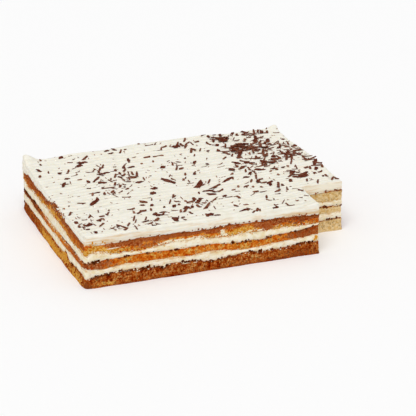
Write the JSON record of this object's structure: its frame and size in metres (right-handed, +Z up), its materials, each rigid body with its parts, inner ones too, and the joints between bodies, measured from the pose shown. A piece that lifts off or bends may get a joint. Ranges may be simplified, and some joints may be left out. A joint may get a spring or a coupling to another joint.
{
  "type": "tiramisu layer cake",
  "caption": "Rectangular slab of layered cake: soaked sponges and creams under combed cream with chocolate shavings, a corner portion cut out. It rests on its flat base.",
  "frame": {"origin": "middle of the flat base, on the surface that the cake rests on", "axes": "+Z up, +X along the long side, -Y towards the front; the corner portion is missing at +X, -Y"},
  "size_m": [0.382, 0.291, 0.0791],
  "materials": {
    "bottom_sponge": "moist dark brown crumb",
    "lower_cream": "satin ivory cream",
    "middle_sponge": "soaked smooth amber crumb",
    "upper_cream": "satin ivory cream",
    "top_sponge": "golden crumb with a soaked brown top",
    "top_cream": "satin combed ivory cream",
    "chocolate": "matt dark chocolate"
  },
  "bodies": {
    "root": {"bottom_sponge": "bottom_sponge", "lower_cream": "lower_cream", "middle_sponge": "middle_sponge", "upper_cream": "upper_cream", "top_sponge": "top_sponge", "top_cream": "top_cream"}
  },
  "joints": []
}
